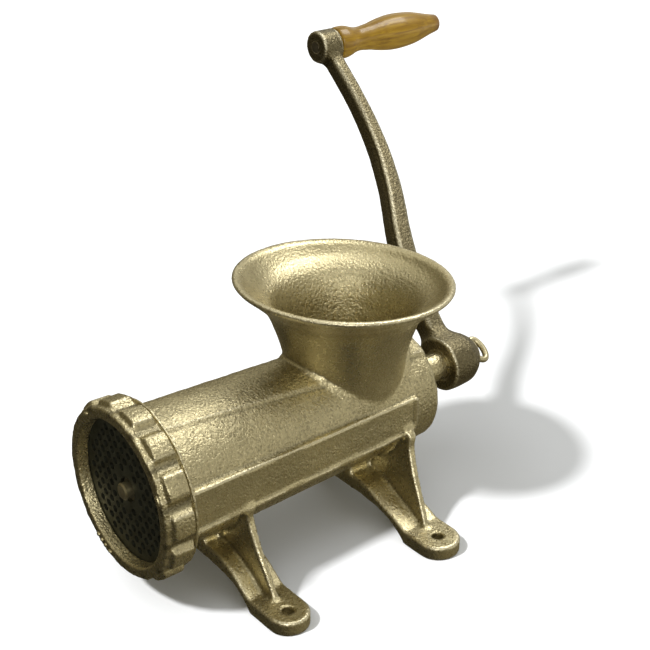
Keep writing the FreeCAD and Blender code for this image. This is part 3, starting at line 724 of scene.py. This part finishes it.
def add_nubs():
    """Nubs and flash left by the mould on the face of the nut's lip."""
    top = LIP_FACE - NUB_HEIGHT
    shoulder = LIP_FACE - 0.7 * NUB_HEIGHT
    dome = [(-0.4, 0), (-0.4, 1.0), (LIP_FACE, 0.95), (shoulder, 0.7), (top, 0.3), (top, 0)]
    all_points, all_faces = [], []
    for angle, across, along in NUBS:
        points, faces = lathe(dome, 14, 0, 0)
        points, faces = joined_poles(points, faces)
        c, s = math.cos(math.radians(angle)), math.sin(math.radians(angle))
        radial, round_ring = points[:, 0] * across, points[:, 2] * along
        placed = np.stack([(NUB_RADIUS + radial) * c - round_ring * s, points[:, 1],
                           SHAFT_Z + (NUB_RADIUS + radial) * s + round_ring * c], 1)
        start = sum(len(part) for part in all_points)
        all_points.append(placed)
        all_faces += [[corner + start for corner in face] for face in faces]
    return make_object("ring_nut_nubs", np.concatenate(all_points), all_faces, NUT_IRON, "nut", (), None)


# --- crank --------------------------------------------------------------------------------

CRANK_VOXEL = 1.1
CRANK_REACH = math.hypot(GRIP_X, GRIP_Z - SHAFT_Z)
CRANK_ALONG = np.array([GRIP_X, 0, GRIP_Z - SHAFT_Z]) / CRANK_REACH
CRANK_ACROSS = np.array([-CRANK_ALONG[2], 0, CRANK_ALONG[0]])
ARM_STATION = smooth_curve([
    (0, 269.5), (20, 269.6), (36, 270.6), (60, 274.0), (90, 281.0), (104, 285.6), (119, 291.5), (132, 296.4),
    (150, 301.6), (166, 305.3), (182, 307.7), (202, 309.6), (218, 310.0), (234, 309.7), (261, 309.2),
    (290, 309.2)])
ARM_HALF_WIDTH = smooth_curve([
    (0, 8.6), (40, 8.4), (90, 8.3), (130, 8.0), (170, 7.6), (210, 7.3), (245, 7.1), (290, 7.0)])
ARM_HALF_DEPTH = smooth_curve([
    (0, 7.0), (40, 7.7), (90, 7.7), (130, 7.1), (170, 6.3), (210, 5.6), (245, 5.7), (290, 5.7)])
ARM_ROUNDING = 3.6
GROOVE_DEPTH = 0.9
HUB_RADIUS = smooth_curve([
    (250, 19.0), (274, 19.0), (277.5, 18.7), (281, 17.9), (284.6, 15.9), (287.0, 14.2), (290, 12.0)])
HUB_START = 260.3
HUB_END = 289.0
EYE_RADIUS = 12.0
EYE_STATION = 308.9
EYE_HALF = 8.9
SHANK_HOLE_RADIUS = 10.35
SHANK_HOLE_END = 283.5
SCREW_HOLE_RADIUS = 5.05
SPINDLE_HOLE_RADIUS = 3.6


def arm_field(along, s, across):
    """Curved arm of the crank, with the shallow groove in its front face."""
    slope = (ARM_STATION(along + 1) - ARM_STATION(along - 1)) / 2
    off = (s - ARM_STATION(along)) / np.sqrt(1 + slope * slope)
    half_width, half_depth = ARM_HALF_WIDTH(along), ARM_HALF_DEPTH(along)
    groove = GROOVE_DEPTH * np.exp(-((across + 4.6) / 1.3) ** 2)
    groove = groove * smooth_step((along - 50) / 30) * smooth_step((205 - along) / 50)
    depth = np.abs(off) - half_depth + groove * (off < 0)
    arm = rounded_max(np.abs(across) - half_width, depth, ARM_ROUNDING)
    return np.maximum(arm, np.maximum(-along, along - CRANK_REACH))


def crank_field(along, s, across):
    """Distance to the crank's surface, in coordinates along the arm, along the shaft and across."""
    radius = np.hypot(along, across)
    hub = smooth_max((radius - HUB_RADIUS(s)) * 0.8, s - HUB_END, 2.0)
    hub = smooth_max(hub, HUB_START - s, 1.4)
    eye_radius = np.hypot(along - CRANK_REACH, across)
    eye = smooth_max(eye_radius - EYE_RADIUS, np.abs(s - EYE_STATION) - EYE_HALF, 1.8)
    crank = smooth_min(smooth_min(hub, arm_field(along, s, across), 7.0), eye, 6.0)
    shank_hole = np.maximum(radius - SHANK_HOLE_RADIUS, s - SHANK_HOLE_END)
    crank = smooth_max(crank, -np.minimum(shank_hole, radius - SCREW_HOLE_RADIUS), 0.9)
    return smooth_max(crank, SPINDLE_HOLE_RADIUS - eye_radius, 0.9)


def add_crank():
    """Cast crank arm with its hub and eye."""
    points, quads = field_surface(crank_field, (-23, 255, -23), (CRANK_REACH + 16, 324, 23), CRANK_VOXEL)
    slope = gradient(crank_field, points)
    normals = slope / np.maximum(np.linalg.norm(slope, axis=1), 1e-6)[:, None]
    edge = edge_sharpness(crank_field, points, 2.0)
    radius = np.hypot(points[:, 0], points[:, 2])
    keep = np.clip((radius - 13) / 3, 0, 1)
    points = roughened(points, normals, 0.14, 6.0, keep)
    basis = np.stack([CRANK_ALONG, np.array([0, 1, 0]), CRANK_ACROSS])
    world = points @ basis + np.array([0, LIP_Y, SHAFT_Z])
    if np.linalg.det(basis) < 0:
        quads = quads[:, ::-1]
    return make_object("crank_skin", world, quads, CRANK_IRON, "crank", ["crank_arm"], edge)


# --- thumb screw --------------------------------------------------------------------------

BOW_TURN = math.radians(-35.0)
BOW_HALF_WIDTH = 8.7
BOW_HALF_LENGTH = 5.4
BOW_STATION = 297.8
BOW_WIRE_RADIUS = 2.3


def tube_along(path, radius, sides):
    """Points and faces of a round tube along a closed path of points."""
    count = len(path)
    tangents = np.roll(path, -1, 0) - np.roll(path, 1, 0)
    tangents /= np.linalg.norm(tangents, axis=1)[:, None]
    normal = np.cross(tangents[0], path[count // 4] - path[0])
    normal /= np.linalg.norm(normal)
    second = np.cross(tangents, normal)
    turns = np.arange(sides) * 2 * math.pi / sides
    points = (path[:, None] + radius * (np.cos(turns)[None, :, None] * normal
                                        + np.sin(turns)[None, :, None] * second[:, None]))
    i, j = np.meshgrid(np.arange(count), np.arange(sides), indexing="ij")
    i, j = i.ravel(), j.ravel()
    after, beside = (i + 1) % count, (j + 1) % sides
    faces = np.stack([i * sides + j, after * sides + j, after * sides + beside, i * sides + beside], 1)
    return points.reshape(-1, 3), faces


def add_thumb_screw():
    """Thumb screw: threaded shank, collar and a bent finger ring."""
    profile = [(268, 0), (268, 4.2), (268.8, 4.85), (290.5, 4.85), (290.5, 7.6), (291.0, 8.0), (292.4, 7.9),
               (293.6, 6.6), (294.2, 4.6), (296.0, 3.4), (296.4, 0)]
    points, faces = lathe(profile, 48)
    points, faces = joined_poles(points, faces)
    turns = np.arange(72) * 2 * math.pi / 72
    width = BOW_HALF_WIDTH * np.cos(turns)
    length = BOW_HALF_LENGTH * np.sin(turns) + 0.6 * np.abs(np.cos(turns)) ** 3
    centre = np.array([0, LIP_Y + BOW_STATION, SHAFT_Z])
    radial = np.array([math.cos(BOW_TURN), 0, math.sin(BOW_TURN)])
    path = centre + width[:, None] * radial + length[:, None] * np.array([0, 1.0, 0])
    ring_points, ring_faces = tube_along(path, BOW_WIRE_RADIUS, 20)
    screw = make_object("thumb_screw_shank", points, faces, RING_STEEL, "screw", ["thumb_screw"], None)
    ring = make_object("thumb_screw_ring", ring_points, ring_faces, RING_STEEL, "screw", (), None)
    return screw, ring


# --- grip ---------------------------------------------------------------------------------

GRIP_RADIUS = smooth_curve([
    (17.6, 11.2), (19, 11.9), (22.5, 12.4), (26.5, 12.3), (30, 11.6), (34.5, 10.1), (39, 9.25), (43, 9.2),
    (48, 9.8), (53, 10.4), (57, 11.3), (65, 12.75), (72, 13.6), (79, 13.8), (87, 13.4), (95, 12.55),
    (103, 10.9), (109, 9.4), (114, 8.2), (118, 7.4)])
EYE_FRONT = 300.1


def add_grip():
    """Turned wooden grip."""
    distances = np.linspace(18.6, 118.0, 90)
    outline = [(EYE_FRONT + d, float(GRIP_RADIUS(d))) for d in distances]
    ends = [(120.4, 6.9), (121.4, 6.7), (121.4, 6.4), (118.6, 6.35), (118.6, 4.1), (18.2, 4.1), (18.1, 9.8),
            (18.2, 10.8)]
    outline += [(EYE_FRONT + d, radius) for d, radius in ends]
    points, faces = lathe(outline[::-1], 96, GRIP_X, GRIP_Z)
    end_share = np.clip((points[:, 1] - LIP_Y - EYE_FRONT - 113) / 7, 0, 1)
    grip = make_object("turned_grip", points, faces, WOOD, "grip", ["wooden_grip"], None)
    add_attribute(grip, "end_grain", end_share)
    return grip


# --- stage --------------------------------------------------------------------------------

CAMERA_PLACE = (0.6116, -0.4531, 0.5258)
CAMERA_AZIMUTH = math.radians(51.3)
CAMERA_ELEVATION = math.radians(26.4)
CAMERA_LENS = 75.5
CAMERA_SENSOR = 36.0
CAMERA_SHIFT = -0.0025

FLOOR_SIZE = 60
FLOOR_DROP = 0.0002
FLOOR_COLOUR = (0.80, 0.85, 0.97)
LAMP_TARGET = (0, 0, 0.1)
LAMP_SIZE = 0.6
# Name, place in metres and power in watts.
LAMPS = [("behind", (-0.12, 0.72, 1.15), 6), ("above", (0.0, 0.12, 1.5), 2), ("near", (1.15, -0.94, 0.80), 6)]
SUN_COLOUR = (1.0, 0.95, 0.85)
# Name, strength, angle in degrees and the direction it comes from.
FLOOR_SUNS = [("front", 3.6, 6, (-0.10, -0.80, 1.0)), ("overhead", 0.42, 50, (-0.05, -0.10, 1.0))]
WORLD_AXIS = (0.25, 0.50, 0.83)
# Share of the way round from the far pole (0) to the axis (1), and the colour there.
WORLD_STOPS = [(0.0, (0.03, 0.025, 0.014)), (0.12, (0.05, 0.042, 0.023)), (0.30, (0.17, 0.145, 0.086)),
               (0.50, (0.20, 0.175, 0.11)), (0.57, (0.26, 0.23, 0.155)), (0.66, (0.40, 0.375, 0.285)),
               (0.72, (1.25, 1.21, 1.07)), (0.77, (0.95, 0.92, 0.81)), (0.83, (0.33, 0.31, 0.25)),
               (0.93, (0.46, 0.44, 0.37)), (1.0, (1.25, 1.22, 1.13))]


def add_camera():
    """Camera above and to the right of the ring nut."""
    camera = bpy.data.objects.new("camera", bpy.data.cameras.new("camera"))
    camera.data.lens = CAMERA_LENS
    camera.data.sensor_width = CAMERA_SENSOR
    camera.data.shift_x = CAMERA_SHIFT
    a, e = CAMERA_AZIMUTH, CAMERA_ELEVATION
    back = Vector((math.sin(a) * math.cos(e), -math.cos(a) * math.cos(e), math.sin(e)))
    right = Vector((math.cos(a), math.sin(a), 0))
    up = back.cross(right)
    turn = Matrix((right, up, back)).transposed()
    camera.matrix_world = Matrix.Translation(CAMERA_PLACE) @ turn.to_4x4()
    camera.data.clip_start = 0.01
    bpy.context.scene.collection.objects.link(camera)
    bpy.context.scene.camera = camera


def add_area_light(name, place, power):
    """Soft square light that faces the grinder."""
    light = bpy.data.lights.new(name, "AREA")
    light.shape = "RECTANGLE"
    light.size = LAMP_SIZE
    light.size_y = LAMP_SIZE
    light.energy = power
    lamp = bpy.data.objects.new(name, light)
    lamp.location = place
    lamp.rotation_euler = (Vector(LAMP_TARGET) - Vector(place)).to_track_quat("-Z", "Y").to_euler()
    bpy.context.scene.collection.objects.link(lamp)
    return lamp


def add_world():
    """Soft surroundings graded about one axis: dim far from it, a bright ring round it and a bright pole."""
    world = bpy.data.worlds.new("studio")
    world.use_nodes = True
    tree = world.node_tree
    background = tree.nodes["Background"]
    direction = tree.nodes.new("ShaderNodeTexCoord").outputs["Generated"]
    facing = tree.nodes.new("ShaderNodeVectorMath")
    facing.operation = "DOT_PRODUCT"
    tree.links.new(direction, facing.inputs[0])
    facing.inputs[1].default_value = WORLD_AXIS
    share = tree.nodes.new("ShaderNodeMapRange")
    tree.links.new(facing.outputs["Value"], share.inputs["Value"])
    share.inputs["From Min"].default_value = -1.0
    ramp = tree.nodes.new("ShaderNodeValToRGB")
    tree.links.new(share.outputs["Result"], ramp.inputs["Fac"])
    elements = ramp.color_ramp.elements
    while len(elements) < len(WORLD_STOPS):
        elements.new(0.5)
    for element, (position, colour) in zip(elements, WORLD_STOPS):
        element.position = position
        element.color = (*colour, 1)
    tree.links.new(ramp.outputs["Color"], background.inputs["Color"])
    background.inputs["Strength"].default_value = 1.0
    bpy.context.scene.world = world


def add_floor_sun(name, energy, angle, direction, receivers):
    """Distant light from the direction given, which falls on the receivers only."""
    sun = bpy.data.objects.new(name, bpy.data.lights.new(name, "SUN"))
    sun.data.energy = energy
    sun.data.color = SUN_COLOUR
    sun.data.angle = math.radians(angle)
    sun.rotation_euler = Vector(direction).to_track_quat("Z", "Y").to_euler()
    bpy.context.scene.collection.objects.link(sun)
    sun.light_linking.receiver_collection = receivers


def add_floor():
    """Pale matt floor just below the feet, which polished metal doesn't mirror."""
    bpy.ops.mesh.primitive_plane_add(size=FLOOR_SIZE, location=(0, 0, -FLOOR_DROP))
    floor = bpy.context.object
    floor.name = "floor"
    floor.visible_glossy = False
    ground = bpy.data.materials.new("pale_floor")
    ground.use_nodes = True
    shader = ground.node_tree.nodes["Principled BSDF"]
    shader.inputs["Base Color"].default_value = (*FLOOR_COLOUR, 1)
    shader.inputs["Roughness"].default_value = 0.9
    floor.data.materials.append(ground)
    return floor


def add_stage():
    """Floor, surroundings and lights: the lamps light all but the floor, and the two suns only the floor."""
    floor = add_floor()
    add_world()
    floor_only = bpy.data.collections.new("floor_only")
    floor_only.objects.link(floor)
    all_but_floor = bpy.data.collections.new("all_but_floor")
    all_but_floor.objects.link(floor)
    all_but_floor.collection_objects[0].light_linking.link_state = "EXCLUDE"
    for name, place, power in LAMPS:
        lamp = add_area_light(name, place, power)
        lamp.light_linking.receiver_collection = all_but_floor
    for name, energy, angle, direction in FLOOR_SUNS:
        add_floor_sun(name, energy, angle, direction, floor_only)
    bpy.context.scene.view_settings.view_transform = "Standard"


dress_cad_nodes()
add_casting()
add_ring_nut()
add_crank()
add_thumb_screw()
add_grip()
add_camera()
add_stage()
